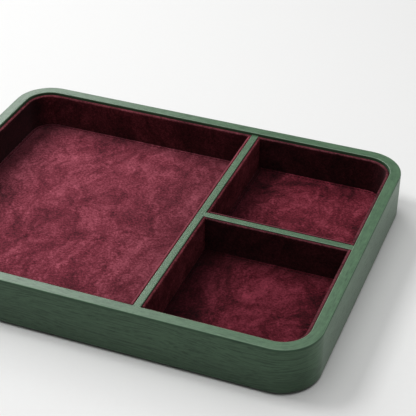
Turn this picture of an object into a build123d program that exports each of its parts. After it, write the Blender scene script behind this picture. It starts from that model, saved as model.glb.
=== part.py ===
import os
from collections import namedtuple

from build123d import *

# A desk valet tray: a wooden frame with round corners and two dividers, lined with suede.
# +X runs along the tray, +Y to its back and +Z up. The origin lies under its middle, on the table.

# Sizes of the wooden frame, in millimetres
tray_length = 320.0
tray_width = 250.0
frame_height = 35.5
frame_wall = 8.4
corner_radius = 28.5
upper_outer_edge_radius = 0.9
upper_inner_edge_chamfer = 0.5
lower_edge_chamfer = 0.7

# Sizes of the dividers
divider_thickness = 5.2
divider_drop = 2.0
small_bay_length = 110.0
wall_housing_depth = 3.0
cross_housing_depth = 1.6
divider_edge_radius = 0.5
housing_clearance = 0.1

# Sizes of the base, its felt and its feet
base_board_thickness = 3.0
base_rebate_width = 4.0
base_clearance = 0.15
felt_thickness = 1.0
felt_clearance = 0.4
foot_stand_off = 2.0
foot_diameter = 14.0
foot_edge_chamfer = 0.5
foot_inset = 30.0
foot_hole_clearance = 0.3

# Sizes of the suede and of the linings on the walls
suede_thickness = 0.6
wall_lining_thickness = 2.9
divider_lining_thickness = 2.3
lining_drop = 2.1
lining_clearance = 0.1
lining_edge_radius = 0.8
lining_back_edge_chamfer = 0.5
suede_turn_in = 9.0

# Sizes of the floor pads
pad_board_thickness = 1.0
pad_foam_thickness = 2.0
pad_clearance = 0.15
pad_least_radius = 1.6
pad_edge_chamfer = 0.9
pad_crown_height = 0.5
pad_crown_run = 14.0
pad_crown_run_shares = (0.0, 0.3, 1.0)
pad_crown_rise_shares = (0.0, 0.65, 1.0)
seam_inset = 2.8
seam_width = 1.4
seam_floor_width = 0.7
seam_depth = 0.4
thread_width = 0.6
thread_height = 0.3

# How far a cut runs past what it cuts
overrun = 5.0

# Heights above the table
frame_bottom = foot_stand_off
frame_top = frame_bottom + frame_height
board_bottom = frame_bottom + felt_thickness
board_top = board_bottom + base_board_thickness
divider_top = frame_top - divider_drop
lining_top = frame_top - lining_drop
pad_board_top = board_top + pad_board_thickness
pad_top = pad_board_top + pad_foam_thickness + suede_thickness

# Places of the walls and dividers
inner_length = tray_length - 2 * frame_wall
inner_width = tray_width - 2 * frame_wall
inner_radius = corner_radius - frame_wall
long_divider_right = inner_length / 2 - small_bay_length
long_divider_left = long_divider_right - divider_thickness
long_divider_middle = long_divider_right - divider_thickness / 2
cross_divider_back = divider_thickness / 2
cross_divider_front = -cross_divider_back
wall_lining_depth = lining_clearance + wall_lining_thickness
divider_lining_depth = lining_clearance + divider_lining_thickness

# A bay's limits are the faces of the dividers. Where a frame wall closes it, the limit lies outside the tray.
Bay = namedtuple("Bay", "left right front back")
main_bay = Bay(-tray_length, long_divider_left, -tray_width, tray_width)
back_bay = Bay(long_divider_right, tray_length, cross_divider_back, tray_width)
front_bay = Bay(long_divider_right, tray_length, -tray_width, cross_divider_front)
bays = {"main": main_bay, "back": back_bay, "front": front_bay}

# A run is a straight panel on a divider: its start, its turn about Z and its length.
# The panel goes along the turned X axis, and the bay lies on its turned +Y side.
Run = namedtuple("Run", "x y turn length")


def slab(outline, bottom, top):
    return extrude(Pos(0, 0, bottom) * outline, amount=top - bottom)


def block(left, right, front, back, bottom, top):
    outline = Pos((left + right) / 2, (front + back) / 2) * Rectangle(right - left, back - front)
    return slab(outline, bottom, top)


# The inside of the frame, drawn in by an inset, with corners no tighter than a pad's crown needs
def inner_outline(inset):
    radius = max(inner_radius - inset, pad_least_radius)
    return RectangleRounded(inner_length - 2 * inset, inner_width - 2 * inset, radius)


# A band along the inside of the frame, between two distances from its walls
def wall_band(near, far, bottom, top):
    return slab(inner_outline(near) - inner_outline(far), bottom, top)


def bay_area(bay, inset):
    middle = Pos((bay.left + bay.right) / 2, (bay.front + bay.back) / 2)
    return middle * Rectangle(bay.right - bay.left - 2 * inset, bay.back - bay.front - 2 * inset)


def top_face(solid):
    return solid.faces().sort_by(Axis.Z)[-1]


# The frame is milled from one plank, with a rebate for the base board and housings for the dividers
def tray_frame():
    body = slab(RectangleRounded(tray_length, tray_width, corner_radius), frame_bottom, frame_top)
    body -= slab(inner_outline(0), frame_bottom - overrun, frame_top + overrun)
    body = fillet(top_face(body).outer_wire().edges(), upper_outer_edge_radius)
    body = chamfer(top_face(body).inner_wires()[0].edges(), upper_inner_edge_chamfer)
    body = chamfer(body.faces().sort_by(Axis.Z)[0].outer_wire().edges(), lower_edge_chamfer)
    body -= slab(inner_outline(-base_rebate_width), frame_bottom - overrun, board_top)
    half_housing = divider_thickness / 2 + housing_clearance
    housing_top = divider_top + housing_clearance
    body -= block(long_divider_middle - half_housing, long_divider_middle + half_housing,
                  -inner_width / 2 - wall_housing_depth, inner_width / 2 + wall_housing_depth,
                  board_top - overrun, housing_top)
    body -= block(0, inner_length / 2 + wall_housing_depth, -half_housing, half_housing,
                  board_top - overrun, housing_top)
    return body


# The divider from front to back, with a housing in its right face for the cross divider
def long_divider():
    reach = inner_width / 2 + wall_housing_depth - housing_clearance
    body = block(long_divider_left, long_divider_right, -reach, reach, board_top, divider_top)
    body = fillet(top_face(body).edges().filter_by(Axis.Y), divider_edge_radius)
    half_housing = divider_thickness / 2 + housing_clearance
    body -= block(long_divider_right - cross_housing_depth, long_divider_right + overrun,
                  -half_housing, half_housing, board_top - overrun, divider_top + overrun)
    return body


def cross_divider():
    start = long_divider_right - cross_housing_depth + housing_clearance
    end = inner_length / 2 + wall_housing_depth - housing_clearance
    body = block(start, end, cross_divider_front, cross_divider_back, board_top, divider_top)
    return fillet(top_face(body).edges().filter_by(Axis.X), divider_edge_radius)


def base_board():
    return slab(inner_outline(base_clearance - base_rebate_width), board_bottom, board_top)


def foot_places():
    x = tray_length / 2 - foot_inset
    y = tray_width / 2 - foot_inset
    return {"front_left": (-x, -y), "front_right": (x, -y), "back_left": (-x, y), "back_right": (x, y)}


# The felt lies flush with the frame's underside and has a hole for each foot
def underside_felt():
    sheet = slab(inner_outline(felt_clearance - base_rebate_width), frame_bottom, board_bottom)
    hole = Circle(foot_diameter / 2 + foot_hole_clearance)
    for place in foot_places().values():
        sheet -= slab(Pos(*place) * hole, frame_bottom - overrun, board_bottom + overrun)
    return sheet


# A foot is a disc, bevelled round its tread
def rubber_foot(place):
    body = slab(Pos(*place) * Circle(foot_diameter / 2), 0, board_bottom)
    return chamfer(body.faces().sort_by(Axis.Z)[0].edges(), foot_edge_chamfer)


# The stiff core of a lining along the frame's walls
def wall_core(bay):
    band = wall_band(lining_clearance + suede_thickness, wall_lining_depth - suede_thickness,
                     board_top, lining_top - suede_thickness)
    return band & slab(bay_area(bay, lining_clearance), board_top, lining_top)


# The suede covers the face and the top of its core and is turned in behind it
def wall_suede(bay):
    band = wall_band(lining_clearance, wall_lining_depth, board_top, lining_top)
    band = fillet(top_face(band).inner_wires()[0].edges(), lining_edge_radius)
    band = chamfer(top_face(band).outer_wire().edges(), lining_back_edge_chamfer)
    band -= wall_band(lining_clearance + suede_thickness, wall_lining_depth - suede_thickness,
                      board_top - overrun, lining_top - suede_thickness)
    band -= wall_band(0, lining_clearance + suede_thickness, board_top - overrun, lining_top - suede_turn_in)
    return band & slab(bay_area(bay, lining_clearance), board_top, lining_top)


# Panels on the dividers fit between the linings of the frame's walls
def divider_runs():
    back_face = inner_width / 2 - wall_lining_depth - lining_clearance
    right_face = inner_length / 2 - wall_lining_depth - lining_clearance
    corner_x = long_divider_right + divider_lining_depth + lining_clearance
    corner_y = cross_divider_back + lining_clearance
    side_length = back_face - corner_y
    cross_length = right_face - corner_x
    return {
        "main_long_divider": Run(long_divider_left, -back_face, 90, 2 * back_face),
        "back_long_divider": Run(long_divider_right, back_face, -90, side_length),
        "back_cross_divider": Run(corner_x, cross_divider_back, 0, cross_length),
        "front_long_divider": Run(long_divider_right, -corner_y, -90, side_length),
        "front_cross_divider": Run(right_face, cross_divider_front, 180, cross_length),
    }


# A length of a section drawn with its width away from the divider and its height up
def along(run, section):
    return Pos(run.x, run.y) * Rot(0, 0, run.turn) * extrude(Plane.YZ * section, amount=run.length)


def upright(near, far, bottom, top):
    return Pos((near + far) / 2, (bottom + top) / 2) * Rectangle(far - near, top - bottom)


def panel_core_section(bottom):
    return upright(lining_clearance + suede_thickness, divider_lining_depth - suede_thickness,
                   bottom, lining_top - suede_thickness)


def panel_core(run):
    return along(run, panel_core_section(board_top))


def panel_suede(run):
    section = upright(lining_clearance, divider_lining_depth, board_top, lining_top)
    section = fillet(section.vertices().sort_by(Axis.Y)[-2:], lining_edge_radius)
    section -= panel_core_section(board_top - overrun)
    section -= upright(0, lining_clearance + suede_thickness, board_top - overrun, lining_top - suede_turn_in)
    return along(run, section)


# The floor of a bay inside its linings, drawn in by an inset
def floor_outline(bay, inset):
    return inner_outline(wall_lining_depth + inset) & bay_area(bay, divider_lining_depth + inset)


def frustum(bay, low_inset, high_inset, bottom, top):
    low = Pos(0, 0, bottom) * floor_outline(bay, low_inset)
    high = Pos(0, 0, top) * floor_outline(bay, high_inset)
    return loft([low, high], ruled=True)


# A padded form on the pad's board: bevelled at its edge, with a low crown inside its seam
def padded_form(bay, skin):
    top = pad_top - skin
    body = slab(floor_outline(bay, pad_clearance + skin), pad_board_top, top)
    body = chamfer(top_face(body).edges(), pad_edge_chamfer - skin)
    steps = list(zip(pad_crown_run_shares, pad_crown_rise_shares))
    for (low_run, low_rise), (high_run, high_rise) in zip(steps, steps[1:]):
        start = seam_inset + seam_width / 2
        body += frustum(bay, start + low_run * pad_crown_run, start + high_run * pad_crown_run,
                        top + low_rise * pad_crown_height, top + high_rise * pad_crown_height)
    return body


def floor_board(bay):
    return slab(floor_outline(bay, pad_clearance), board_top, pad_board_top)


def floor_foam(bay):
    return padded_form(bay, suede_thickness)


# The sewn channel has sloping sides and a narrow floor
def seam_channel(bay):
    seam_floor = pad_top - seam_depth
    outer = frustum(bay, seam_inset - seam_floor_width / 2, seam_inset - seam_width / 2, seam_floor, pad_top)
    inner = frustum(bay, seam_inset + seam_floor_width / 2, seam_inset + seam_width / 2, seam_floor, pad_top)
    return outer - inner


def floor_suede(bay):
    return padded_form(bay, 0) - floor_foam(bay) - seam_channel(bay)


def floor_stitching(bay):
    seam_floor = pad_top - seam_depth
    line = floor_outline(bay, seam_inset - thread_width / 2) - floor_outline(bay, seam_inset + thread_width / 2)
    return slab(line, seam_floor, seam_floor + thread_height)


def all_parts():
    parts = {
        "tray_frame": tray_frame(),
        "base_board": base_board(),
        "underside_felt": underside_felt(),
        "long_divider": long_divider(),
        "cross_divider": cross_divider(),
    }
    for corner, place in foot_places().items():
        parts["foot_" + corner] = rubber_foot(place)
    for name, bay in bays.items():
        parts[name + "_wall_core"] = wall_core(bay)
        parts[name + "_wall_suede"] = wall_suede(bay)
        parts[name + "_floor_board"] = floor_board(bay)
        parts[name + "_floor_foam"] = floor_foam(bay)
        parts[name + "_floor_suede"] = floor_suede(bay)
        parts[name + "_floor_stitching"] = floor_stitching(bay)
    for name, run in divider_runs().items():
        parts[name + "_core"] = panel_core(run)
        parts[name + "_suede"] = panel_suede(run)
    return parts


os.makedirs("parts", exist_ok=True)
for name, part in all_parts().items():
    export_step(part, "parts/" + name + ".step")
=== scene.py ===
import math

import bmesh
import bpy
from mathutils import Matrix, Vector, noise
from mathutils.bvhtree import BVHTree


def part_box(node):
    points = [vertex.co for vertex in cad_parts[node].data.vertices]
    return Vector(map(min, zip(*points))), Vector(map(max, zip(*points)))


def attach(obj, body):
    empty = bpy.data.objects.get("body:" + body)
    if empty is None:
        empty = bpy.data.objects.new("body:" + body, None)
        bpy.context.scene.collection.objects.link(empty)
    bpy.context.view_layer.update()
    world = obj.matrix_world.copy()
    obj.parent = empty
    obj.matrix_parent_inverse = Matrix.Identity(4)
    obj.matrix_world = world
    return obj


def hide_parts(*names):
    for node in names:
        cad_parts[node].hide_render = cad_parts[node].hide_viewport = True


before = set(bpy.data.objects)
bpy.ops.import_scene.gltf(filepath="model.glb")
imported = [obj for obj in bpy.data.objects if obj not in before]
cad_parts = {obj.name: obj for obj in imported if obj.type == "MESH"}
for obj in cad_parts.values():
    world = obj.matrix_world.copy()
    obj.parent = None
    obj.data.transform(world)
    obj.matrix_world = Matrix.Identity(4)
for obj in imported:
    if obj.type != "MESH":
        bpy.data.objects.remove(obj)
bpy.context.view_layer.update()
mm = 0.001
hair = 0.01 * mm    # nearer than this is the same place
cornerSegments, arrisSegments = 28, 4


# working with the mesh tools, as by hand

def hold(piece):
    bpy.ops.object.select_all(action="DESELECT")
    piece.select_set(True)
    bpy.context.view_layer.objects.active = piece


def editing(piece):
    hold(piece)
    bpy.ops.object.mode_set(mode="EDIT")


def doneEditing():
    bpy.ops.object.mode_set(mode="OBJECT")


def pickAll():
    bpy.ops.mesh.select_all(action="SELECT")


# selects the vertices, edges or faces that pass a test, in edit mode
def pick(kind, test):
    bpy.ops.mesh.select_mode(type=kind)
    bpy.ops.mesh.select_all(action="DESELECT")
    mesh = bmesh.from_edit_mesh(bpy.context.edit_object.data)
    for found in {"VERT": mesh.verts, "EDGE": mesh.edges, "FACE": mesh.faces}[kind]:
        if test(found):
            found.select_set(True)
    bmesh.update_edit_mesh(bpy.context.edit_object.data)


def applied(piece, kind, **settings):
    hold(piece)
    modifier = piece.modifiers.new(kind.title(), kind)
    for name, value in settings.items():
        setattr(modifier, name, value)
    bpy.ops.object.modifier_apply(modifier=modifier.name)


def cutAway(piece, cutter):
    applied(piece, "BOOLEAN", operation="DIFFERENCE", object=cutter, solver="EXACT")
    bpy.data.objects.remove(cutter)


def smoothed(piece, angle=35, flatSides=False):
    hold(piece)
    bpy.ops.object.shade_smooth_by_angle(angle=math.radians(angle))
    if flatSides:
        applied(piece, "WEIGHTED_NORMAL", keep_sharp=True, weight=100)


def facingOut(piece):
    editing(piece)
    pickAll()
    bpy.ops.mesh.remove_doubles(threshold=hair)
    bpy.ops.mesh.normals_make_consistent(inside=False)
    doneEditing()


# adds a plane, cube, cylinder or grid
def added(kind, name, **settings):
    getattr(bpy.ops.mesh, "primitive_" + kind + "_add")(**settings)
    bpy.context.object.name = name
    return bpy.context.object


def sized(piece, size):
    piece.scale = size
    bpy.ops.object.transform_apply(location=True, rotation=False, scale=True)
    return piece


# a flat face with round corners
def roundedOutline(name, length, width, radius, height):
    plate = sized(added("plane", name, size=1, location=(0, 0, height)), (length, width, 1))
    editing(plate)
    pickAll()
    bpy.ops.mesh.bevel(offset=radius, segments=cornerSegments, affect="VERTICES")
    doneEditing()
    return plate


# the same, thickened upwards
def roundedPlate(name, length, width, radius, bottom, top):
    plate = roundedOutline(name, length, width, radius, bottom)
    applied(plate, "SOLIDIFY", thickness=top - bottom, offset=1)
    return plate


def straightBlock(name, low, high):
    middle = [(a + b) / 2 for a, b in zip(low, high)]
    return sized(added("cube", name, size=1, location=middle), [b - a for a, b in zip(low, high)])


# rounds over the edges that pass a test
def roundOver(piece, size, test):
    editing(piece)
    pick("EDGE", test)
    bpy.ops.mesh.bevel(offset=size, segments=arrisSegments, profile=0.5, affect="EDGES")
    doneEditing()


def allAt(edge, height):
    return all(abs(vertex.co.z - height) < hair for vertex in edge.verts)


# a smooth random number for a place, from coarse bumps and finer ones
def uneven(place, coarse, fine, shift=(0, 0, 0)):
    return noise.noise(place * coarse) * 0.6 + noise.noise(place * fine + Vector(shift)) * 0.4


# materials

# a shader socket that Python's operators work on
class Wire:
    def __init__(self, finish, socket):
        self.finish, self.socket = finish, socket

    def out(self, name):
        return Wire(self.finish, self.socket.node.outputs[name])

    def maths(self, operation, *values):
        return self.finish.node("Math", {"operation": operation}, dict(enumerate(values)))

    def __add__(self, other):
        return self.maths("ADD", self, other)

    def __sub__(self, other):
        return self.maths("SUBTRACT", self, other)

    def __rsub__(self, other):
        return self.maths("SUBTRACT", other, self)

    def __mul__(self, other):
        return self.maths("MULTIPLY", self, other)

    __radd__ = __add__
    __rmul__ = __mul__

    # 0 below low, 1 above high, and a smooth ramp between them
    def rise(self, low, high):
        return self.finish.node("MapRange", {"interpolation_type": "SMOOTHSTEP"},
                                {"Value": self, "From Min": low, "From Max": high})

    def size(self):
        return self.maths("ABSOLUTE", self)


class Finish:
    def __init__(self, name, attribute=None):
        self.attribute = attribute
        self.material = bpy.data.materials.new(name)
        self.material.use_nodes = True
        self.tree = self.material.node_tree
        self.shader = self.tree.nodes["Principled BSDF"]

    def node(self, kind, settings=None, inputs=None, out=0):
        made = self.tree.nodes.new("ShaderNode" + kind)
        for name, value in (settings or {}).items():
            if name == "stops":
                ramp = made.color_ramp
                while len(ramp.elements) < len(value):
                    ramp.elements.new(1)
                for stop, (place, colour) in zip(ramp.elements, value):
                    stop.position, stop.color = place, (*colour, 1)
            else:
                setattr(made, name, value)
        for name, value in (inputs or {}).items():
            self.fill(made.inputs[name], value)
        return Wire(self, made.outputs[out])

    # a colour has three numbers in this script, and opacity as its fourth in the socket
    def fill(self, socket, value):
        if isinstance(value, Wire):
            self.tree.links.new(value.socket, socket)
        else:
            socket.default_value = (*value, 1) if socket.type == "RGBA" else value

    def place(self):
        if self.attribute:
            return self.node("Attribute", {"attribute_name": self.attribute}, out="Vector")
        return self.node("TexCoord", out="Object")

    # the surface's direction
    def facing(self):
        return self.parts(self.node("NewGeometry", out="Normal"))

    # a vector's three numbers; a Wire from here stands for the first
    def parts(self, vector):
        return self.node("SeparateXYZ", None, {"Vector": vector})

    def uvParts(self):
        return self.parts(self.node("TexCoord", out="UV"))

    def stretched(self, scale, turn=(0, 0, 0), shift=(0, 0, 0)):
        return self.node("Mapping", None,
                         {"Vector": self.place(), "Scale": scale, "Rotation": turn, "Location": shift})

    def noise(self, place, scale, detail=3, roughness=0.5):
        return self.node("TexNoise", None,
                         {"Vector": place, "Scale": scale, "Detail": detail, "Roughness": roughness})

    # a noise with a scale for each direction
    def pattern(self, scale, detail=3, roughness=0.5):
        return self.noise(self.stretched(scale), 1, detail, roughness)

    # pushes a place about by a noise of its own in each direction
    def swayed(self, place, scale, by):
        push = self.noise(self.place(), scale, 2).out("Color")
        return self.node("VectorMath", {"operation": "MULTIPLY_ADD"}, {0: push, 1: (by, by, by), 2: place})

    def ramp(self, value, *stops):
        return self.node("ValToRGB", {"stops": stops}, {"Fac": value})

    def blend(self, first, second, share, how="MIX"):
        return self.node("Mix", {"data_type": "RGBA", "blend_type": how},
                         {0: share, 6: first, 7: second}, out=2)

    def tinted(self, colour, tint, share):
        return self.blend(colour, self.blend(colour, tint, 1.0, "MULTIPLY"), share)

    def bump(self, height, distance, under=None):
        inputs = {"Height": height, "Distance": distance}
        if under:
            inputs["Normal"] = under
        return self.node("Bump", None, inputs)

    def wear(self, **sockets):
        for name, value in sockets.items():
            self.fill(self.shader.inputs[name.replace("_", " ")], value)
        return self.material


def scaled(colour, by):
    return tuple(part * by for part in colour)


# green-stained open-pored wood; the grain follows each board and the polish is rubbed up on the top edges;
# the sides carry painted shade, the arrises a painted highlight, and the outer top arris is darker;
# a scale tells how fine a pattern is along the board, in from its face and up
wood = {"dark": (0.034, 0.085, 0.043), "middle": (0.068, 0.142, 0.076), "light": (0.093, 0.186, 0.101),
        "poreColour": (0.028, 0.062, 0.036), "arrisHighlightColour": (0.19, 0.30, 0.20),
        "outerArrisColour": (0.012, 0.048, 0.022), "sideShade": 0.30, "footShade": 0.17, "endShadeRelief": 0.30,
        "arrisShade": 0.55, "arrisHighlightShare": 0.50, "poreShade": 0.60, "wander": (0.020, 0.030),
        "ringWidth": 0.0018, "pith": (0, 0.05, 0.16), "sideHeight": (0.004, 0.034),
        "topEdge": (0.0350, 0.0364), "outerEdge": (0.0020, 0.0030), "poreDepth": 0.00006,
        "roughness": 0.42, "sidePolish": 0.05, "topPolish": 0.80, "driftScale": (7, 26, 26),
        "dashScale": (44, 1050, 1050), "fibreScale": (70, 900, 900), "poreScale": (105, 1300, 1300),
        "stainScale": (9, 22, 22), "mottleScale": (260, 520, 520)}
# a wave texture's ring at scale 1
waveLength = 0.314


def stainedWood():
    finish = Finish("stainedWood", "grain")
    drift = finish.pattern(wood["driftScale"], 2) - 0.5
    axis = finish.stretched((1, 1, 1), shift=wood["pith"])
    inwards, upwards = wood["wander"]
    wander = finish.node("CombineXYZ", None, {"Y": drift * inwards, "Z": drift * upwards})
    bent = finish.node("VectorMath", {"operation": "ADD"}, {0: axis, 1: wander})
    rings = finish.node("TexWave", {"wave_type": "RINGS", "rings_direction": "X"},
                        {"Vector": bent, "Scale": waveLength / wood["ringWidth"], "Distortion": 1.4,
                         "Detail": 2.0, "Detail Scale": 0.6}, out="Fac")
    along = finish.node("Mapping", None, {"Vector": bent, "Scale": wood["dashScale"]})
    dashes = finish.noise(along, 1, 4, 0.65).rise(0.40, 0.68)
    fibre = finish.pattern(wood["fibreScale"], 4, 0.6)
    pores = finish.pattern(wood["poreScale"], 2)
    pore = pores.rise(0.56, 0.70) * (0.35 + rings * 0.65)
    stain = finish.pattern(wood["stainScale"])
    facing = finish.facing()
    slope = facing.out("Z")
    upright = 1 - slope.rise(0.35, 0.85)
    ends = facing.size().rise(0.75, 0.98)
    board = finish.parts(finish.place())
    outer = 1 - board.out("Y").rise(*wood["outerEdge"])
    # darker and less polished along the outer top arris
    darkOuterArris = outer * board.out("Z").rise(*wood["topEdge"]) * (1 - slope.rise(0.68, 0.86))
    # painted highlight along the arrises, partly rubbed wear, fainter on the outer ones
    rubbedAndLit = slope.rise(0.10, 0.40) * (1 - slope.rise(0.96, 0.998)) * (1 - outer * 0.45)
    line = (0.45 + rings * 0.55) * dashes * (0.18 + upright * 0.47)
    mottle = finish.pattern(wood["mottleScale"], 3, 0.6) - 0.5
    tone = (fibre - 0.5) * 0.7 + (stain - 0.5) * 0.5 + mottle * (1.3 - upright * 0.7) - line + 0.65
    colour = finish.ramp(tone, (0.12, wood["dark"]), (0.55, wood["middle"]), (0.95, wood["light"]))
    colour = finish.blend(colour, wood["poreColour"], pore * wood["poreShade"])
    # painted shade on the sides, darkest towards the foot and lighter on the end sides
    foot = 1 - board.out("Z").rise(*wood["sideHeight"])
    shade = wood["sideShade"] + foot * wood["footShade"] - ends * wood["endShadeRelief"]
    colour = finish.blend(colour, (0, 0, 0), upright * shade)
    colour = finish.blend(colour, wood["arrisHighlightColour"], rubbedAndLit * wood["arrisHighlightShare"])
    colour = finish.blend(colour, wood["outerArrisColour"], darkOuterArris * wood["arrisShade"])
    polish = wood["topPolish"] - upright * (wood["topPolish"] - wood["sidePolish"])
    height = (1 - pore) * 0.8 + fibre * 0.2
    return finish.wear(Base_Color=colour, Roughness=wood["roughness"] + pore * 0.2 + (fibre - 0.5) * 0.14,
                       Normal=finish.bump(height, wood["poreDepth"]), Specular_IOR_Level=0.24,
                       Coat_Weight=(1 - darkOuterArris) * polish, Coat_Roughness=0.36, Sheen_Weight=0.30,
                       Sheen_Roughness=0.25, Sheen_Tint=(0.85, 1.0, 0.88))


# suede: a short nap that lies in swirls, lighter or darker by the way it was last brushed;
# the names from clouds to lean say how much each part moves the tone, a scale how fine its pattern is;
# a run is where a shade sets in, and a stray how far the nap moves its edge
suede = {"dark": (0.038, 0.0034, 0.0072), "middle": (0.138, 0.0170, 0.0295), "light": (0.300, 0.0600, 0.0880),
         # the walls' shades are darker than the floor's, partly the nap's lie and partly painted shade
         "wallDark": (0.020, 0.0024, 0.0035), "wallMiddle": (0.066, 0.0092, 0.0127),
         "wallLight": (0.150, 0.0255, 0.0345), "rubbedAndLit": (0.260, 0.0660, 0.0880),
         "behindFold": (0.016, 0.0030, 0.0045), "unlit": (0.01, 0.0, 0.0), "hole": (0.010, 0.001, 0.003),
         "leftShadeTint": (0.20, 0.12, 0.15), "frontShadeTint": (0.66, 0.58, 0.62), "backRun": (-0.003, 0.022),
         "rightRun": (-0.003, 0.075), "frontRun": (-0.004, 0.062), "foldRun": (-0.0019, -0.0010),
         "clouds": 0.9, "strokes": 0.95, "wisps": 0.8, "marks": 0.19, "markWidth": 0.08, "lean": 0.06,
         "napShare": 1.6, "speckShare": 1.0, "napDepth": 0.00012, "cloudScale": 13, "strokeScale": 50,
         "markScale": 26, "wispScale": 170, "napScale": 560, "speckScale": 1400, "foldStray": 0.0005,
         "ridgeEndRun": (-0.0003, 0.0002), "behindRun": (0, 0.0006), "leftStray": 0.006,
         "backStray": 0.004, "rightStray": 0.010, "frontStray": 0.010}


def suedeNap(finish, contrast):
    place = finish.place()
    bent = finish.swayed(finish.stretched((1.25, 0.8, 1.0), turn=(0, 0, 0.35)), 14, 0.09)
    swirl = finish.swayed(bent, 40, 0.028)
    clouds = finish.noise(place, suede["cloudScale"], 2)
    strokes = finish.noise(swirl, suede["strokeScale"], 3, 0.55)
    marks = (finish.noise(bent, suede["markScale"], 1, 0.4) - 0.5).size()
    wisps = finish.noise(swirl, suede["wispScale"], 3, 0.6)
    nap = finish.noise(finish.stretched((1.0, 1.15, 1.1), turn=(0, 0, -0.5)), suede["napScale"], 3, 0.65)
    speck = finish.noise(place, suede["speckScale"], 2)
    brushing = ((clouds - 0.5) * suede["clouds"] + (strokes - 0.5) * suede["strokes"]
                + (wisps - 0.5) * suede["wisps"] - (1 - marks.rise(0.0, suede["markWidth"])) * suede["marks"]
                + suede["lean"])
    tone = brushing * contrast + (nap - 0.5) * suede["napShare"] + (speck - 0.5) * suede["speckShare"]
    return tone, nap * 0.8 + speck * 0.3 + strokes * 0.5


# the shade for a tone round zero, with room at both ends
def suedeShade(finish, tone, dark, middle, light):
    return finish.ramp(tone * 0.55 + 0.5, (0.0, scaled(dark, 0.4)), (0.22, dark), (0.50, middle),
                       (0.78, light), (1.0, scaled(light, 1.5)))


# the linings' nap is rubbed paler where the sheet folds over the top, with a painted highlight there,
# and painted shade lies dark behind the fold;
# the UV map's height runs over the fold, from in front of the middle of the top to behind it;
# leftShade is painted shade: it darkens what faces right, away from the light, and the rest towards the right
def liningSuede(name, level, sheen, fold, groove, depth, leftShade=0.0):
    finish = Finish(name)
    tone, height = suedeNap(finish, 0.9)
    shades = [scaled(suede[shade], level) for shade in ("wallDark", "wallMiddle", "wallLight")]
    colour = suedeShade(finish, tone, *shades)
    over = finish.uvParts().out("Y") + tone * suede["foldStray"]
    beyond = over - groove
    ridge = over.rise(*suede["foldRun"]) * (1 - beyond.rise(*suede["ridgeEndRun"]))
    # painted shade on linings turned away from the light, and darker towards the right
    turnedAway = finish.facing().rise(0.3, 0.95) * leftShade
    towardsRight = finish.parts(finish.place()).rise(-0.10, 0.04) * (leftShade * 0.6)
    colour = finish.blend(colour, (0, 0, 0), turnedAway + towardsRight)
    # painted highlight on the fold, partly rubbed wear
    colour = finish.blend(colour, suede["rubbedAndLit"], ridge * (fold + tone * 0.5))
    # painted shade behind the fold
    colour = finish.blend(colour, suede["behindFold"], beyond.rise(*suede["behindRun"]) * depth)
    return finish.wear(Base_Color=colour, Roughness=0.95, Normal=finish.bump(height, suede["napDepth"]),
                       Specular_IOR_Level=0.12, Sheen_Weight=sheen, Sheen_Roughness=0.45,
                       Sheen_Tint=(1.0, 0.50, 0.58))


# the pads' suede has a needle hole at each end of a stitch, and beside the walls its nap lies flat and
# painted shade darkens it;
# the UV map runs along the seam and in from the pad's edge
def padSuede(name, shape, level, shift, contrast, deep, sheen, leftRun, backShade, rightShade):
    finish = Finish(name)
    tone, height = suedeNap(finish, contrast)
    shades = [tuple(part * level * share for part, share in zip(suede[shade], (1, *deep)))
              for shade in ("dark", "middle", "light")]
    colour = suedeShade(finish, tone + shift, *shades)
    place = finish.parts(finish.place())
    # painted shade, darker towards the left, back, right and front edges
    fromLeft = (place - shape.left + tone * suede["leftStray"]).rise(*leftRun)
    fromBack = (shape.back - place.out("Y") + tone * suede["backStray"]).rise(*suede["backRun"])
    fromRight = (shape.right - place + tone * suede["rightStray"]).rise(*suede["rightRun"])
    fromFront = (place.out("Y") - shape.front + tone * suede["frontStray"]).rise(*suede["frontRun"])
    colour = finish.tinted(colour, suede["leftShadeTint"], 1 - fromLeft)
    colour = finish.blend(colour, suede["unlit"], (1 - fromBack) * backShade)
    colour = finish.blend(colour, suede["unlit"], (1 - fromRight) * rightShade)
    colour = finish.tinted(colour, suede["frontShadeTint"], 1 - fromFront)
    seam = finish.uvParts()
    fromHole = seam.maths("PINGPONG", seam, 0.5)
    across = (seam.out("Y") - pad["seamInset"]).size()
    hole = (1 - fromHole.rise(*pad["holeLength"])) * (1 - across.rise(*pad["holeWidth"]))
    pinch = (1 - fromHole.rise(*pad["pinchLength"])) * (1 - across.rise(*pad["pinchWidth"]))
    colour = finish.blend(colour, suede["hole"], hole * 0.7)
    fine = finish.bump(height, suede["napDepth"])
    return finish.wear(Base_Color=colour, Roughness=0.95, Specular_IOR_Level=0.10,
                       Normal=finish.bump(1 - pinch, pad["pinchDepth"], under=fine),
                       Sheen_Weight=sheen, Sheen_Roughness=0.45, Sheen_Tint=(1.0, 0.46, 0.55))


def threadFinish(name, level):
    finish = Finish(name)
    twist = finish.pattern((2600, 2600, 2600), 2)
    worn, clean = scaled((0.016, 0.0024, 0.0042), level), scaled((0.040, 0.0064, 0.0105), level)
    colour = finish.ramp(twist, (0.3, worn), (0.7, clean))
    return finish.wear(Base_Color=colour, Roughness=0.85, Normal=finish.bump(twist, 0.0001),
                       Specular_IOR_Level=0.1)


def feltFinish():
    finish = Finish("pressedFelt")
    fluff = finish.noise(finish.place(), 900, 4, 0.7)
    cloud = finish.noise(finish.place(), 60)
    mixed = fluff * 0.6 + cloud * 0.4
    colour = finish.ramp(mixed, (0.3, (0.010, 0.011, 0.010)), (0.75, (0.034, 0.036, 0.034)))
    return finish.wear(Base_Color=colour, Roughness=0.95, Normal=finish.bump(fluff, 0.0003),
                       Sheen_Weight=0.15)


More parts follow.
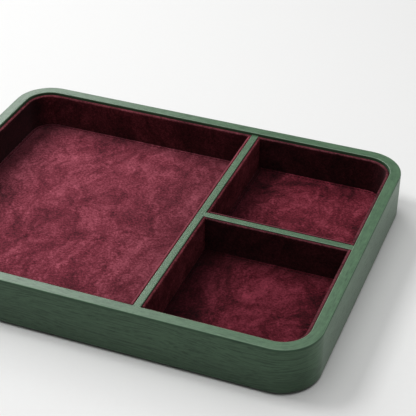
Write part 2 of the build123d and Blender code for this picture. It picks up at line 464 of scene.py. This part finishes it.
def rubberFinish():
    finish = Finish("mattRubber")
    bloom = finish.noise(finish.place(), 420)
    colour = finish.ramp(bloom, (0.3, (0.010, 0.010, 0.010)), (0.7, (0.022, 0.022, 0.022)))
    return finish.wear(Base_Color=colour, Roughness=0.6 + bloom * 0.2, Normal=finish.bump(bloom, 0.00005))


def plywoodFinish():
    finish = Finish("birchPlywood")
    plies = finish.node("TexWave", {"bands_direction": "Z"},
                        {"Vector": finish.place(), "Scale": 320.0, "Distortion": 0.2}, out="Fac")
    fibre = finish.pattern((30, 500, 500), 4, 0.6)
    colour = finish.ramp(plies * 0.5 + fibre * 0.5, (0.3, (0.36, 0.235, 0.125)), (0.7, (0.60, 0.44, 0.27)))
    return finish.wear(Base_Color=colour, Roughness=0.6, Normal=finish.bump(fibre, 0.00008))


def boardFinish():
    finish = Finish("greyBoard")
    fleck = finish.noise(finish.place(), 700, 3, 0.7)
    colour = finish.ramp(fleck, (0.3, (0.20, 0.175, 0.14)), (0.7, (0.40, 0.36, 0.30)))
    return finish.wear(Base_Color=colour, Roughness=0.9, Normal=finish.bump(fleck, 0.0001))


finishes = {"stained_wood": stainedWood(), "felt": feltFinish(), "rubber": rubberFinish(),
            "plywood": plywoodFinish(), "core_board": boardFinish()}
print("materials made")


def ready(piece, slot, finish=None):
    piece.data.materials.clear()
    piece.data.materials.append(finish or finishes[slot])
    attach(piece, "root")


# the wooden frame

tray = {"length": 0.320, "width": 0.250, "bottom": 0.002, "top": 0.0375, "wall": 0.0084, "corner": 0.0285,
        "outerArris": 0.0009, "innerArris": 0.0006, "lowerArris": 0.0007, "rebate": 0.004,
        "rebateTop": 0.006, "housingPlay": 0.0001, "sideRise": 0.2}
straightX = tray["length"] / 2 - tray["corner"]
straightY = tray["width"] / 2 - tray["corner"]
quarterTurn = (tray["corner"] - tray["wall"] / 2) * math.pi / 2


# how far in from the frame's outer face
def wallDepth(x, y):
    u, v = abs(x) - straightX, abs(y) - straightY
    return tray["corner"] - (math.hypot(u, v) if u > 0 and v > 0 else max(u, v))


def edgeDepth(edge):
    middle = (edge.verts[0].co + edge.verts[1].co) / 2
    return wallDepth(middle.x, middle.y)


# the grain's own directions for a wooden piece: along the board, in from its face, and up
def setGrain(piece, boardPlace):
    grain = piece.data.attributes.new("grain", "FLOAT_VECTOR", "CORNER")
    for face in piece.data.polygons:
        for loop, index in zip(face.loop_indices, face.vertices):
            grain.data[loop].vector = boardPlace(piece.data.vertices[index].co, face.center)


# the frame's grain runs round from the left end of the front side; where each corner begins, it has passed
# this many corners, half lengths and half widths
passed = {"front right": (0, 2, 0), "back right": (1, 2, 2), "back left": (2, 4, 2), "front left": (3, 4, 4)}


def frameGrain(spot, centre):
    x, y = spot.x, spot.y
    right, back = centre.x > 0, centre.y > 0
    if abs(centre.x) > straightX and abs(centre.y) > straightY:
        corner = ("back " if back else "front ") + ("right" if right else "left")
        turns, halfLengths, halfWidths = passed[corner]
        angle = math.atan2(y - math.copysign(straightY, centre.y), x - math.copysign(straightX, centre.x))
        turned = (angle - (turns - 1) * math.pi / 2 + math.pi) % (2 * math.pi) - math.pi
        gone = halfLengths * straightX + halfWidths * straightY + turns * quarterTurn
        gone += quarterTurn * turned / (math.pi / 2)
    elif abs(centre.y) - straightY > abs(centre.x) - straightX:
        gone = 3 * straightX + 2 * straightY + 2 * quarterTurn - x if back else straightX + x
    elif right:
        gone = 2 * straightX + quarterTurn + straightY + y
    else:
        gone = 4 * straightX + 3 * quarterTurn + 3 * straightY - y
    return (gone, wallDepth(x, y), spot.z)


def trayFrame():
    ring = roundedOutline("milledFrame", tray["length"], tray["width"], tray["corner"], tray["bottom"])
    editing(ring)
    bpy.ops.mesh.select_mode(type="FACE")
    pickAll()
    bpy.ops.mesh.inset(thickness=tray["wall"])
    bpy.ops.mesh.delete(type="FACE")
    doneEditing()
    applied(ring, "SOLIDIFY", thickness=tray["top"] - tray["bottom"], offset=1)
    arrises = ((tray["top"], True, tray["outerArris"]), (tray["top"], False, tray["innerArris"]),
               (tray["bottom"], True, tray["lowerArris"]))
    for height, outside, size in arrises:
        roundOver(ring, size, lambda edge: allAt(edge, height) and edge.calc_length() > hair
                  and any(abs(face.normal.z) < tray["sideRise"] for face in edge.link_faces)
                  and (edgeDepth(edge) < tray["wall"] / 2) == outside)
    grow = tray["rebate"] - tray["wall"]
    wellBelow, justBelow = -0.01, 0.001
    cutAway(ring, roundedPlate("rebateCutter", tray["length"] + 2 * grow, tray["width"] + 2 * grow,
                               tray["corner"] + grow, wellBelow, tray["rebateTop"]))
    for name in ("long_divider", "cross_divider"):
        low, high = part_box(name)
        play = tray["housingPlay"]
        reachX = 0 if name == "cross_divider" else play
        cutAway(ring, straightBlock("housingCutter", (low[0] - reachX, low[1] - play, justBelow),
                                    (high[0] + play, high[1] + play, high[2] + play)))
    smoothed(ring, flatSides=True)
    setGrain(ring, frameGrain)
    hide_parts("tray_frame")
    ready(ring, "stained_wood")


trayFrame()
print("frame made")


# the dividers

# the names with From take each one's grain from another place in the wood
divider = {"arris": 0.0005, "longGrainFrom": 3, "crossGrainFrom": 5, "crossDepthFrom": 0.1, "cutterEnd": 0.06,
           "cutterTop": 0.05}


def dividerRail(node):
    low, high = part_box(node)
    rail = straightBlock(node.split("_")[0] + "Rail", low, high)
    along = 1 if high[1] - low[1] > high[0] - low[0] else 0
    roundOver(rail, divider["arris"], lambda edge: allAt(edge, high[2])
              and abs(edge.verts[0].co[along] - edge.verts[1].co[along]) > hair)
    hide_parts(node)
    return rail


longRail = dividerRail("long_divider")
crossRail = dividerRail("cross_divider")
low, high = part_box("cross_divider")
play = tray["housingPlay"]
cutAway(longRail, straightBlock("housingCutter", (low[0] - play, low[1] - play, 0),
                                (divider["cutterEnd"], high[1] + play, divider["cutterTop"])))
for rail in (longRail, crossRail):
    smoothed(rail, flatSides=True)
    ready(rail, "stained_wood")
setGrain(longRail, lambda spot, centre: (spot.y + divider["longGrainFrom"], spot.x, spot.z))
setGrain(crossRail, lambda spot, centre: (spot.x + divider["crossGrainFrom"],
                                          spot.y + divider["crossDepthFrom"], spot.z))
print("dividers made")


# suede linings: one sheet each, glued over a stiff core and turned in behind it

lining = {"skin": 0.0006, "frontRound": 0.0011, "backRound": 0.0008, "turnIn": 0.009, "wallDepth": 0.0030,
          "dividerDepth": 0.0024, "gap": 0.0001, "step": 0.0022, "waver": 0.00009, "rises": 12,
          "frontSteps": 6, "backSteps": 5, "cornerSteps": 14, "waverScales": (60, 190)}

# how bright each suede lies, partly painted shade, how it catches the light, how pale its fold is rubbed
# and lit as a painted highlight, how far behind the middle of the top the painted shade begins and how dark
# it gets
liningLooks = {
    "mainSuede": {"level": 1.05, "sheen": 0.06, "fold": 0.22, "groove": 0.0006, "depth": 0.7,
                  "leftShade": 0.72},
    "baySuede": {"level": 0.44, "sheen": 0.05, "fold": 0.30, "groove": 0.0005, "depth": 0.85},
    "mainDividerSuede": {"level": 1.5, "sheen": 0.0, "fold": 0.62, "groove": 0.0003, "depth": 0.3},
    "sideDividerSuede": {"level": 1.5, "sheen": 0.0, "fold": 0.15, "groove": -0.0002, "depth": 0.9},
    "crossDividerSuede": {"level": 0.42, "sheen": 0.05, "fold": 0.45, "groove": 0.0004, "depth": 0.3},
    "frontDividerSuede": {"level": 0.42, "sheen": 0.05, "fold": 0.25, "groove": -0.0002, "depth": 0.9}}
liningSuedes = {name: liningSuede(name, **look) for name, look in liningLooks.items()}


# the sheet's outline seen from its end: up the face, over the top and down behind
def liningSection(depth, bottom, top):
    front, back = lining["frontRound"], lining["backRound"]
    rises, frontSteps, backSteps = lining["rises"], lining["frontSteps"], lining["backSteps"]
    points = [(depth, bottom + (top - front - bottom) * k / rises) for k in range(rises)]
    for k in range(frontSteps + 1):
        angle = math.pi / 2 * k / frontSteps
        points.append((depth - front + front * math.cos(angle), top - front + front * math.sin(angle)))
    for k in range(backSteps + 1):
        angle = math.pi / 2 * k / backSteps
        points.append((lining["gap"] + back - back * math.sin(angle), top - back + back * math.cos(angle)))
    points.append((lining["gap"], top - lining["turnIn"] / 2))
    points.append((lining["gap"], top - lining["turnIn"]))
    return points


# how far along a line each of its points lies
def distances(points):
    found = [0.0]
    for a, b in zip(points, points[1:]):
        found.append(found[-1] + math.dist(a, b))
    return found


# u counts along the sheet, v runs up its section in metres, with 0 at the middle of the top
def foldMap(sheet, columns, section):
    lengths = distances(section)
    top = max(point[1] for point in section)
    highest = [k for k, point in enumerate(section) if point[1] > top - hair / 10]
    middle = (lengths[highest[0]] + lengths[highest[-1]]) / 2
    uvMap = sheet.data.uv_layers[0]
    for loop in sheet.data.loops:
        u, v = uvMap.data[loop.index].uv
        row = round(v * (len(section) - 1))
        uvMap.data[loop.index].uv = (u * columns * lining["step"], lengths[row] - middle)


# whether a grid laid along a path faces into the bay, judged by a face low on its front
def facesBay(sheet, path, section):
    lowFace = next(face for face in sheet.data.polygons if face.center.z < section[3][1])
    place, inwards = min(path, key=lambda point: math.dist(point[0], lowFace.center.xy))
    return lowFace.normal.xy.dot(Vector(inwards)) >= 0


# lays a grid along a path of places and inward directions, as a sheet of suede
def laidSheet(name, path, section, closedBy, finish):
    sheet = added("grid", name, x_subdivisions=len(path) - 1, y_subdivisions=len(section) - 1, size=2)
    for vertex in sheet.data.vertices:
        i = round((vertex.co.x + 1) / 2 * (len(path) - 1))
        j = round((vertex.co.y + 1) / 2 * (len(section) - 1))
        place, inwards = path[i]
        depth, height = section[j]
        spot = Vector((place[0] + inwards[0] * depth, place[1] + inwards[1] * depth, height))
        if j > 0:
            sway = uneven(spot, *lining["waverScales"])
            spot += Vector((inwards[0], inwards[1], 0.5)) * sway * lining["waver"]
        vertex.co = spot
    foldMap(sheet, len(path), section)
    if not facesBay(sheet, path, section):
        editing(sheet)
        pickAll()
        bpy.ops.mesh.flip_normals()
        doneEditing()
    applied(sheet, "SOLIDIFY", thickness=lining["skin"], offset=-1, use_even_offset=True)
    smoothed(sheet, 60)
    length, height = [distances(line)[-1] for line in ([place for place, inwards in path], section)]
    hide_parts(closedBy)
    ready(sheet, "suede", finish)


def straightRun(start, end, inwards):
    count = max(2, round(math.dist(start, end) / lining["step"]))
    wayX, wayY = end[0] - start[0], end[1] - start[1]
    return [((start[0] + wayX * k / count, start[1] + wayY * k / count), inwards) for k in range(count + 1)]


# a quarter turn of the frame's inner wall, from one wall's direction to the next
def cornerRun(centre, radius, startAngle, endAngle):
    run = []
    count = lining["cornerSteps"]
    for k in range(1, count):
        angle = math.radians(startAngle + (endAngle - startAngle) * k / count)
        out = (math.cos(angle), math.sin(angle))
        run.append(((centre[0] + radius * out[0], centre[1] + radius * out[1]), (-out[0], -out[1])))
    return run


halfLength = tray["length"] / 2 - tray["wall"]
halfWidth = tray["width"] / 2 - tray["wall"]
innerRadius = tray["corner"] - tray["wall"]
arcX, arcY = halfLength - innerRadius, halfWidth - innerRadius


def wallLinings():
    low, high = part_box("main_wall_suede")
    section = liningSection(lining["wallDepth"], low[2], high[2])
    end = high[0]
    path = straightRun((end, halfWidth), (-arcX, halfWidth), (0, -1))
    path += cornerRun((-arcX, arcY), innerRadius, 90, 180)
    path += straightRun((-halfLength, arcY), (-halfLength, -arcY), (1, 0))
    path += cornerRun((-arcX, -arcY), innerRadius, 180, 270)
    path += straightRun((-arcX, -halfWidth), (end, -halfWidth), (0, 1))
    laidSheet("mainWallLining", path, section, "main_wall_suede", liningSuedes["mainSuede"])
    for bay, side in (("back", 1), ("front", -1)):
        low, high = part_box(bay + "_wall_suede")
        divide = low[1] if side > 0 else high[1]
        path = straightRun((low[0], side * halfWidth), (arcX, side * halfWidth), (0, -side))
        path += cornerRun((arcX, side * arcY), innerRadius, side * 90, 0)
        path += straightRun((halfLength, side * arcY), (halfLength, divide), (-1, 0))
        laidSheet(bay + "WallLining", path, section, bay + "_wall_suede", liningSuedes["baySuede"])


# each divider lining's box gives its place; the direction is the bay that it faces
facings = {"main_long_divider": ((-1, 0), "mainDividerSuede"),
           "back_long_divider": ((1, 0), "sideDividerSuede"),
           "front_long_divider": ((1, 0), "sideDividerSuede"),
           "back_cross_divider": ((0, 1), "crossDividerSuede"),
           "front_cross_divider": ((0, -1), "frontDividerSuede")}


def dividerLinings():
    for name, (inwards, look) in facings.items():
        node = name + "_suede"
        low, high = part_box(node)
        section = liningSection(lining["dividerDepth"], low[2], high[2])
        x, y = [a - lining["gap"] if way > 0 else b + lining["gap"] for way, a, b in zip(inwards, low, high)]
        ends = ((x, low[1]), (x, high[1])) if inwards[0] else ((low[0], y), (high[0], y))
        bay, rail = name.split("_")[:2]
        path = straightRun(*ends, inwards)
        laidSheet(bay + rail.title() + "Lining", path, section, node, liningSuedes[look])


wallLinings()
dividerLinings()
print("linings made")


# floor pads: suede sewn round a thin foam, with a low crown inside the seam

pad = {"roll": 0.0011, "seamInset": 0.0028, "seamHalfWidth": 0.0010, "seamDepth": 0.00045, "crown": 0.0004,
       "crownRun": 0.014, "cornerRadius": 0.01695, "cornerSteps": 24, "topGap": 0.0001, "ripple": 0.00035,
       "rippleRun": 0.004, "seamReach": 0.008, "middleStep": 2.2 * mm, "holeWidth": (0.0003, 0.0006),
       "pinchWidth": (0.0004, 0.0022), "pinchDepth": 0.0003,
       # along the seam, as shares of a stitch
       "holeLength": (0.068, 0.17), "pinchLength": (0.05, 0.45)}
# the grid's outer rings, in millimetres from the pad's edge
padRings = [0, 0.05, 0.18, 0.4, 0.7, 1.1, 1.5, 1.8, 2.05, 2.3, 2.55, 2.8, 3.05, 3.3, 3.55, 3.8, 4.2, 4.9, 5.9,
            7.2, 8.7]
# a pad's corners, each by its side in x and y, with the angle at which its arc starts
cornerAngles = {(-1, -1): 180, (1, -1): 270, (1, 1): 0, (-1, 1): 90}
roundCorners = {"main": ((-1, -1), (-1, 1)), "back": ((1, 1),), "front": ((1, -1),)}


class PadShape:
    def __init__(self, bay):
        low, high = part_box(bay + "_floor_suede")
        self.left, self.front, self.bottom = low
        self.right, self.back = high[0], high[1]
        self.top = high[2] - pad["crown"] - pad["topGap"]
        self.bay = bay

    def radius(self, side, inset):
        return max(pad["cornerRadius"] - inset, 0) if side in roundCorners[self.bay] else 0

    def cornerPoints(self, side, inset):
        return pad["cornerSteps"] + 1 if self.radius(side, inset) > 0 else 1

    # distance in from the pad's edge
    def depth(self, x, y):
        for side in roundCorners[self.bay]:
            r = pad["cornerRadius"]
            centreX = self.right - r if side[0] > 0 else self.left + r
            centreY = self.back - r if side[1] > 0 else self.front + r
            u, v = (x - centreX) * side[0], (y - centreY) * side[1]
            if u > 0 and v > 0:
                return max(r - math.hypot(u, v), 0)
        return max(min(x - self.left, self.right - x, y - self.front, self.back - y), 0)

    # the outline drawn in by an inset, as points from the front left corner round by the right
    def loop(self, inset):
        points = []
        for side, startAngle in cornerAngles.items():
            r = self.radius(side, inset)
            x = self.right - inset - r if side[0] > 0 else self.left + inset + r
            y = self.back - inset - r if side[1] > 0 else self.front + inset + r
            for k in range(self.cornerPoints(side, inset)):
                angle = math.radians(startAngle + 90 * k / pad["cornerSteps"])
                points.append((x + r * math.cos(angle), y + r * math.sin(angle)))
        return points

    # the four sides between the corners' middles: front, right, back and left
    def sides(self, inset):
        points = self.loop(inset)
        corners, index = [], 0
        for side in cornerAngles:
            count = self.cornerPoints(side, inset)
            corners.append(index + count // 2)
            index += count
        corners.append(corners[0] + len(points))
        return [(points + points)[start:end + 1] for start, end in zip(corners, corners[1:])]


# the point at a share of a line's length
def alongLine(line, share):
    lengths = [math.dist(a, b) for a, b in zip(line, line[1:])]
    goal = share * sum(lengths)
    for a, b, step in zip(line, line[1:], lengths):
        if goal <= step and step > 0:
            return (a[0] + (b[0] - a[0]) * goal / step, a[1] + (b[1] - a[1]) * goal / step)
        goal -= step
    return line[-1]


def smoothStep(value):
    value = min(max(value, 0), 1)
    return value * value * (3 - 2 * value)


# height of the sewn pad at a distance in from its edge
def padHeight(depth, top):
    roll = pad["roll"]
    height = top
    if depth < roll:
        height -= roll - math.sqrt(max(roll * roll - (roll - depth) ** 2, 0))
    fromSeam = abs(depth - pad["seamInset"]) / pad["seamHalfWidth"]
    if fromSeam < 1:
        height -= pad["seamDepth"] * (0.5 + 0.5 * math.cos(math.pi * fromSeam))
    return height + pad["crown"] * smoothStep((depth - pad["seamInset"]) / pad["crownRun"])


# the loose suede between the seams: a cloth held at the seam and a little too large for its frame, which
# settles from a slight unevenness into low waves
cloth = {"cell": 0.0032, "unevenness": 0.0005, "unevenRun": 0.01, "heldWidth": 0.0016, "steps": 20,
         "castFrom": 0.05, "foldScales": (45, 110), "foldShift": (3, 5, 7)}
clothSettings = {"quality": 6, "mass": 0.12, "tension_stiffness": 12, "compression_stiffness": 12,
                 "bending_stiffness": 0.05, "shrink_min": -0.001, "vertex_group_mass": "held"}


def restingCloth(shape):
    inset = pad["seamInset"]
    wide, long = shape.right - shape.left - 2 * inset, shape.back - shape.front - 2 * inset
    sheet = added("grid", "restingCloth", x_subdivisions=round(wide / cloth["cell"]),
                  y_subdivisions=round(long / cloth["cell"]), size=1)
    middle = Vector(((shape.left + shape.right) / 2, (shape.front + shape.back) / 2, 0))
    held = sheet.vertex_groups.new(name="held")
    for vertex in sheet.data.vertices:
        vertex.co = Vector((vertex.co.x * wide, vertex.co.y * long, 0)) + middle
        fold = uneven(vertex.co, *cloth["foldScales"], cloth["foldShift"])
        inside = shape.depth(vertex.co.x, vertex.co.y) - inset
        vertex.co.z = cloth["unevenness"] * fold * smoothStep(inside / cloth["unevenRun"])
        if inside < cloth["heldWidth"]:
            held.add([vertex.index], 1, "REPLACE")
    hold(sheet)
    modifier = sheet.modifiers.new("Cloth", "CLOTH")
    for name, value in clothSettings.items():
        setattr(modifier.settings, name, value)
    modifier.settings.effector_weights.gravity = 0
    modifier.collision_settings.use_collision = False
    for step in range(1, cloth["steps"] + 1):
        bpy.context.scene.frame_set(step)
    bpy.ops.object.modifier_apply(modifier=modifier.name)
    bpy.context.scene.frame_set(1)
    heights = sorted(vertex.co.z for vertex in sheet.data.vertices)
    print("cloth moved", round(heights[0] / mm, 2), "to", round(heights[-1] / mm, 2), "mm")
    tree = BVHTree.FromPolygons([vertex.co for vertex in sheet.data.vertices],
                                [list(face.vertices) for face in sheet.data.polygons])
    bpy.data.objects.remove(sheet)
    return tree


# how far the cloth lifts the pad's top at a place: never more than the ripple, and fading to the seam
def clothLift(relief, x, y, depth):
    hit = relief.ray_cast(Vector((x, y, cloth["castFrom"])), Vector((0, 0, -1)))[0]
    if hit is None:
        return 0
    share = smoothStep((depth - pad["seamInset"]) / pad["rippleRun"])
    return pad["ripple"] * math.tanh(hit.z / pad["ripple"]) * share


# a grid drawn out into rings that follow the pad's outline, close together by the edge and the seam
def padGrid(name, shape):
    wide, long = shape.right - shape.left, shape.back - shape.front
    short = min(wide, long)
    rings = [r * mm for r in padRings]
    more = round((short / 2 - rings[-1]) / pad["middleStep"])
    rings += [rings[-1] + (short / 2 - rings[-1]) * (k + 1) / more for k in range(more)]
    across = 2 * (len(rings) - 1)
    extra = round((max(wide, long) - short) / pad["middleStep"])
    countX, countY = (across, across + extra) if wide <= long else (across + extra, across)
    piece = added("grid", name, x_subdivisions=countX, y_subdivisions=countY, size=2)
    sideLines = [shape.sides(r) for r in rings]
    for vertex in piece.data.vertices:
        i = round((vertex.co.x + 1) / 2 * countX)
        j = round((vertex.co.y + 1) / 2 * countY)
        ring = min(i, j, countX - i, countY - j)
        front, right, back, left = sideLines[ring]
        shareX = (i - ring) / max(countX - 2 * ring, 1)
        shareY = (j - ring) / max(countY - 2 * ring, 1)
        if j == ring:
            share, line = shareX, front
        elif j == countY - ring:
            share, line = 1 - shareX, back
        elif i == ring:
            share, line = 1 - shareY, left
        else:
            share, line = shareY, right
        vertex.co = Vector((*alongLine(line, share), 0))
    applied(piece, "SUBSURF", levels=1, render_levels=1, boundary_smooth="PRESERVE_CORNERS")
    return piece


def floorPad(bay):
    shape = PadShape(bay)
    piece = padGrid(bay + "FloorPad", shape)
    relief = restingCloth(shape)
    for vertex in piece.data.vertices:
        x, y = vertex.co.x, vertex.co.y
        depth = shape.depth(x, y)
        lift = clothLift(relief, x, y, depth) if relief else 0
        vertex.co.z = padHeight(depth, shape.top) + lift
    editing(piece)
    pick("EDGE", lambda edge: edge.is_boundary)
    bpy.ops.mesh.extrude_region_move()
    mesh = bmesh.from_edit_mesh(piece.data)
    for vertex in mesh.verts:
        if vertex.select:
            vertex.co.z = shape.bottom
    bmesh.update_edit_mesh(piece.data)
    bpy.ops.mesh.edge_face_add()
    doneEditing()
    facingOut(piece)
    smoothed(piece, 50)
    seamMap(piece, shape)
    ready(piece, "suede", padSuede(bay + "PadSuede", shape, **padNapAndShade[bay]))
    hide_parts(bay + "_floor_suede", bay + "_floor_foam")
    stitches(bay, shape)


def seamLine(shape):
    line = shape.loop(pad["seamInset"])
    line.append(line[0])
    return line, round(distances(line)[-1] / stitch["pitch"])


# u counts the stitches along the seam, v is the distance in from the edge in metres
def seamMap(piece, shape):
    line, count = seamLine(shape)
    corners = [Vector((*p, 0)) for p in line]
    starts = distances(line)
    uvMap = piece.data.uv_layers.new(name="seam")
    placed = {}
    for vertex in piece.data.vertices:
        x, y = vertex.co.x, vertex.co.y
        depth = shape.depth(x, y)
        share = 0.0
        if depth < pad["seamReach"]:
            spot, best = Vector((x, y, 0)), math.inf
            for a, b, start in zip(corners, corners[1:], starts):
                side = b - a
                if side.length < hair:
                    continue
                part = min(max((spot - a).dot(side) / side.length_squared, 0), 1)
                far = (a + side * part - spot).length
                if far < best:
                    best, share = far, (start + part * side.length) / starts[-1]
        placed[vertex.index] = (share * count, depth)
    for face in piece.data.polygons:
        us = [placed[v][0] for v in face.vertices]
        wraps = max(us) - min(us) > count / 2
        for loop, v in zip(face.loop_indices, face.vertices):
            u, w = placed[v]
            uvMap.data[loop].uv = (u + count if wraps and u < count / 2 else u, w)


# one stitch, modelled once: a short thread that dives into the suede at both ends;
# slimming, raised and endInset are shares of the thread's size, slimFrom and sinkFrom of its half length
stitch = {"pitch": 0.0030, "length": 0.0023, "width": 0.00062, "height": 0.00042, "sink": 0.00028,
          "slimming": 0.35, "raised": 0.35, "endInset": 0.16, "leanDegrees": 3, "slimFrom": 0.4,
          "sinkFrom": 0.35}
# the thread is painted darker in the small bays, where it lies in shade
threadShadeLevels = {"main": 2.0, "back": 0.7, "front": 0.7}


def stitchShape():
    thread = added("cylinder", "thread", vertices=8, radius=0.5, depth=1, rotation=(0, math.pi / 2, 0))
    bpy.ops.object.transform_apply(location=False, rotation=True, scale=False)
    editing(thread)
    pick("EDGE", lambda edge: abs(edge.verts[0].co.x - edge.verts[1].co.x) > 0.5)
    bpy.ops.mesh.subdivide(number_cuts=3)
    pick("FACE", lambda face: len(face.verts) > 4)
    bpy.ops.mesh.inset(thickness=stitch["endInset"])
    doneEditing()
    for vertex in thread.data.vertices:
        end = abs(vertex.co.x) * 2
        slim = 1 - stitch["slimming"] * smoothStep((end - stitch["slimFrom"]) / (1 - stitch["slimFrom"]))
        vertex.co.y *= slim * stitch["width"]
        vertex.co.z *= slim * stitch["height"]
        vertex.co.z -= stitch["sink"] * smoothStep((end - stitch["sinkFrom"]) / (1 - stitch["sinkFrom"]))
        vertex.co.x *= stitch["length"]
    return thread


def stitches(bay, shape):
    line, count = seamLine(shape)
    seed = stitchShape()
    height = shape.top - pad["seamDepth"] + stitch["raised"] * stitch["height"]
    copies = []
    for k in range(count):
        here, ahead = alongLine(line, (k + 0.5) / count), alongLine(line, (k + 0.52) / count)
        angle = math.atan2(ahead[1] - here[1], ahead[0] - here[0]) + math.radians(stitch["leanDegrees"])
        copy = bpy.data.objects.new("stitch", seed.data.copy())
        copy.data.transform(Matrix.Translation((*here, height)) @ Matrix.Rotation(angle, 4, "Z"))
        bpy.context.collection.objects.link(copy)
        copies.append(copy)
    bpy.data.objects.remove(seed)
    row = copies[0]
    hold(row)
    for copy in copies:
        copy.select_set(True)
    bpy.ops.object.join()
    row.name = bay + "Stitches"
    smoothed(row, 60)
    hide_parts(bay + "_floor_stitching")
    ready(row, "thread", threadFinish(bay + "Thread", threadShadeLevels[bay]))


# each pad's suede: how bright it lies, partly painted shade, shift and contrast of its nap, its share of
# green and blue, how it catches the light, how far the painted shade runs out from the left, and how dark
# it gets at the back and on the right
padNapAndShade = {
    "main": {"level": 1.19, "shift": 0.0, "contrast": 1.0, "deep": (1.08, 1.06), "sheen": 0.36,
             "leftRun": (-0.003, 0.050), "backShade": 0.40, "rightShade": 0.42},
    "back": {"level": 0.85, "shift": -0.04, "contrast": 1.2, "deep": (0.80, 0.86), "sheen": 0.10,
             "leftRun": (-0.003, 0.046), "backShade": 0.0, "rightShade": 0.0},
    "front": {"level": 0.51, "shift": -0.08, "contrast": 1.4, "deep": (0.66, 0.78), "sheen": 0.04,
              "leftRun": (-0.003, 0.054), "backShade": 0.60, "rightShade": 0.0}}
for bay in padNapAndShade:
    floorPad(bay)
print("floor pads made")


# the felt under the tray

felt = {"gap": 0.0004, "footHole": 0.0073, "cutterHeight": 0.01, "cutterMiddle": 0.002}


def undersideFelt():
    low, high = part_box("underside_felt")
    length, width = high[0] - low[0], high[1] - low[1]
    grow = tray["rebate"] - tray["wall"] - felt["gap"]
    sheet = roundedPlate("feltSheet", length, width, tray["corner"] + grow, low[2], high[2])
    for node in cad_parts:
        if node.startswith("foot_"):
            footLow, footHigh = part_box(node)
            middle = ((footLow[0] + footHigh[0]) / 2, (footLow[1] + footHigh[1]) / 2, felt["cutterMiddle"])
            cutAway(sheet, added("cylinder", "footCutter", vertices=48, radius=felt["footHole"],
                                 depth=felt["cutterHeight"], location=middle))
    smoothed(sheet)
    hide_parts("underside_felt")
    ready(sheet, "felt")


undersideFelt()
for name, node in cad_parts.items():
    kind = {"foot": "rubber", "base": "plywood"}.get(name.split("_")[0])
    if kind is None and name.endswith(("_core", "_board")):
        kind = "core_board"
    if kind:
        node.data.materials.clear()
        node.data.materials.append(finishes[kind])
print("felt and carried pieces finished")


# table, light and camera

room = {"tableSize": 8, "floor": (0.84, 0.84, 0.835), "skyColour": (1, 1, 1), "skyStrength": 0.10}
lamps = {"window": {"size": (0.56, 0.56), "place": (-1.20, 0.0, 1.60), "power": 15.5},
         "backWindow": {"size": (1.05, 0.8), "place": (-1.20, 1.27, 1.22), "power": 13.5},
         "ceiling": {"size": (2.0, 1.6), "place": (0.10, -0.05, 1.50), "power": 16.5}}

table = added("plane", "table", size=room["tableSize"], location=(0, 0, 0))
tableFinish = Finish("paleTable")
speckle = tableFinish.noise(tableFinish.place(), 300, 2)
table.data.materials.append(tableFinish.wear(
    Base_Color=tableFinish.ramp(speckle, (0.0, room["floor"]), (1.0, scaled(room["floor"], 1.02))),
    Roughness=0.7, Specular_IOR_Level=0.3))

for name, given in lamps.items():
    lamp = bpy.data.objects.new(name, bpy.data.lights.new(name, "AREA"))
    lamp.data.shape = "RECTANGLE"
    lamp.data.size, lamp.data.size_y = given["size"]
    lamp.data.energy = given["power"]
    lamp.location = given["place"]
    lamp.rotation_euler = (-lamp.location).to_track_quat("-Z", "Y").to_euler()
    bpy.context.collection.objects.link(lamp)

scene = bpy.context.scene
world = bpy.data.worlds.new("studio")
scene.world = world
world.use_nodes = True
sky = world.node_tree.nodes["Background"]
sky.inputs["Color"].default_value = (*room["skyColour"], 1)
sky.inputs["Strength"].default_value = room["skyStrength"]

view = {"place": (0.30936, -0.70345, 0.55027), "yaw": 0.3606, "pitch": 0.5952, "roll": 0.0133,
        "lens": 110.66, "sensor": 36, "nearest": 0.01}
yaw, pitch, roll = view["yaw"], view["pitch"], view["roll"]
ahead = Vector((-math.sin(yaw) * math.cos(pitch), math.cos(yaw) * math.cos(pitch), -math.sin(pitch)))
side = Vector((math.cos(yaw), math.sin(yaw), 0))
above = side.cross(ahead)
across = math.cos(roll) * side + math.sin(roll) * above
upwards = -math.sin(roll) * side + math.cos(roll) * above
camera = bpy.data.objects.new("camera", bpy.data.cameras.new("camera"))
camera.data.sensor_width = view["sensor"]
camera.data.lens = view["lens"]
camera.data.clip_start = view["nearest"]
turned = Matrix((across, upwards, -ahead)).transposed().to_4x4()
camera.matrix_world = Matrix.Translation(view["place"]) @ turned
bpy.context.collection.objects.link(camera)
scene.camera = camera
scene.view_settings.view_transform = "Standard"
print("table, light and camera set")
